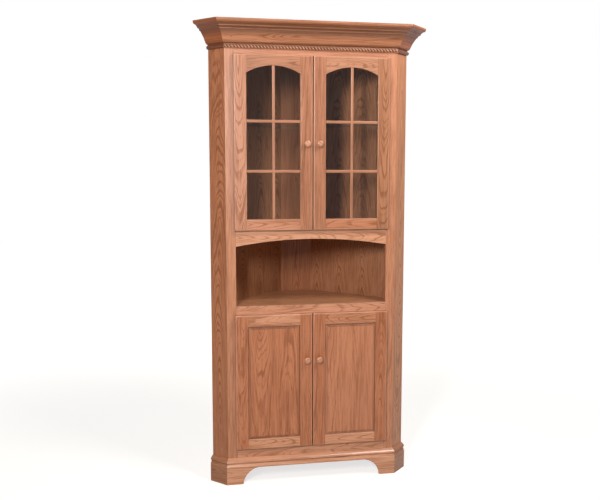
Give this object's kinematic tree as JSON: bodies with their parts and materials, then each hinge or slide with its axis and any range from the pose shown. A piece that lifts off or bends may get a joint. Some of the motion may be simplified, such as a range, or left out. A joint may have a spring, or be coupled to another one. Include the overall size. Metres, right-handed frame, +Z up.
{
  "type": "corner cupboard",
  "caption": "Corner cupboard with glazed doors over an arched open niche, panelled doors below, canted wings, rope-trimmed cove crown and bracket-foot base.",
  "frame": {"origin": "on the floor, under the middle of the cupboard's outer box (crown front to rear board)", "axes": "+X to the right seen from the front, +Y back into the room corner, +Z up; the doors face -Y"},
  "size_m": [1.026, 0.535, 2.03],
  "materials": {
    "frame_oak": "satin lacquer over honey-stained red oak, lighter boards",
    "door_oak": "satin lacquer over honey-stained red oak",
    "case_oak": "satin lacquer over honey-stained red oak, darker boards",
    "panel_oak": "satin lacquer over oak-faced plywood",
    "knob_oak": "satin lacquer over turned oak",
    "glass": "clear float glass",
    "nickel": "nickel plate, slightly brushed"
  },
  "bodies": {
    "case": {"base_front": "case_oak", "base_left": "case_oak", "base_right": "case_oak", "cabinet_floor": "case_oak", "counter": "case_oak", "crown_front": "case_oak", "crown_left": "case_oak", "crown_right": "case_oak", "frame_arched_rail": "frame_oak", "frame_bottom_rail": "frame_oak", "frame_middle_rail": "frame_oak", "frame_stile_left": "frame_oak", "frame_stile_right": "frame_oak", "frame_top_rail": "frame_oak", "glass_shelf_high": "glass", "glass_shelf_low": "glass", "left_back_wall": "panel_oak", "left_wing": "case_oak", "lower_shelf": "case_oak", "rear_board": "panel_oak", "right_back_wall": "panel_oak", "right_wing": "case_oak", "rope_moulding": "case_oak", "top_panel": "panel_oak", "upper_deck": "case_oak"},
    "upper_left_door": {"upper_left_bottom_rail": "door_oak", "upper_left_glass": "glass", "upper_left_grille": "door_oak", "upper_left_hinge_high": "nickel", "upper_left_hinge_low": "nickel", "upper_left_hinge_stile": "door_oak", "upper_left_knob": "knob_oak", "upper_left_meeting_stile": "door_oak", "upper_left_top_rail": "door_oak"},
    "upper_right_door": {"upper_right_bottom_rail": "door_oak", "upper_right_glass": "glass", "upper_right_grille": "door_oak", "upper_right_hinge_high": "nickel", "upper_right_hinge_low": "nickel", "upper_right_hinge_stile": "door_oak", "upper_right_knob": "knob_oak", "upper_right_meeting_stile": "door_oak", "upper_right_top_rail": "door_oak"},
    "lower_left_door": {"lower_left_bottom_rail": "door_oak", "lower_left_hinge_high": "nickel", "lower_left_hinge_low": "nickel", "lower_left_hinge_stile": "door_oak", "lower_left_knob": "knob_oak", "lower_left_meeting_stile": "door_oak", "lower_left_panel": "door_oak", "lower_left_top_rail": "door_oak"},
    "lower_right_door": {"lower_right_bottom_rail": "door_oak", "lower_right_hinge_high": "nickel", "lower_right_hinge_low": "nickel", "lower_right_hinge_stile": "door_oak", "lower_right_knob": "knob_oak", "lower_right_meeting_stile": "door_oak", "lower_right_panel": "door_oak", "lower_right_top_rail": "door_oak"}
  },
  "joints": [
    {"name": "upper_left_door_hinge", "type": "hinge", "parent": "case", "child": "upper_left_door", "pos_m": [-0.3465, -0.19299, 1.52], "axis": [0, 0, -1], "range_deg": [0, 110]},
    {"name": "upper_right_door_hinge", "type": "hinge", "parent": "case", "child": "upper_right_door", "pos_m": [0.3465, -0.19299, 1.52], "axis": [0, 0, 1], "range_deg": [0, 110]},
    {"name": "lower_left_door_hinge", "type": "hinge", "parent": "case", "child": "lower_left_door", "pos_m": [-0.3465, -0.19299, 0.465], "axis": [0, 0, -1], "range_deg": [0, 110]},
    {"name": "lower_right_door_hinge", "type": "hinge", "parent": "case", "child": "lower_right_door", "pos_m": [0.3465, -0.19299, 0.465], "axis": [0, 0, 1], "range_deg": [0, 110]}
  ]
}
